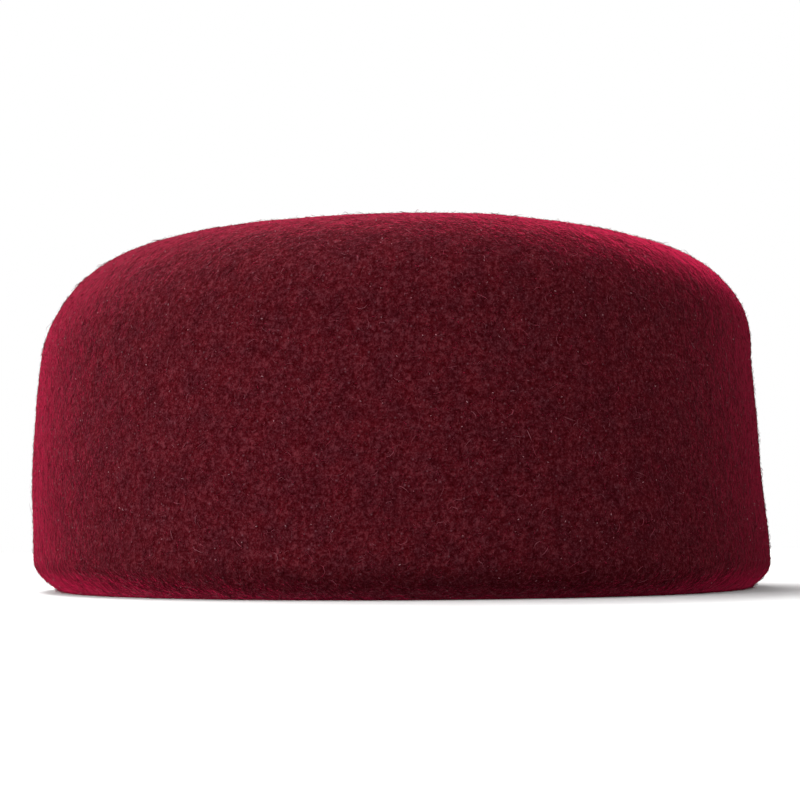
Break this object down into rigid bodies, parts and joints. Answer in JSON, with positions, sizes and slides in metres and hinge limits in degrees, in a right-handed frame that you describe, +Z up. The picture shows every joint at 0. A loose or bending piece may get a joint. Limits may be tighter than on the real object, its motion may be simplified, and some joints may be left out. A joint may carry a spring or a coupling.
{
  "type": "wool felt pillbox hat",
  "caption": "Pillbox hat blocked from one piece of wine-red wool felt: flat oval crown, rounded shoulder, plain wall and a rim that turns in, open below.",
  "frame": {"origin": "middle of the hat's footprint, at the height of the surface that it stands on", "axes": "+Z up to the crown, +Y from the forehead to the back along the long side of the oval, +X to the wearer's left"},
  "size_m": [0.1808, 0.204, 0.0792],
  "materials": {
    "felt": "matt wine-red wool felt with a short lying nap and a raw cut edge"
  },
  "bodies": {
    "root": {"felt_body": "felt"}
  },
  "joints": []
}
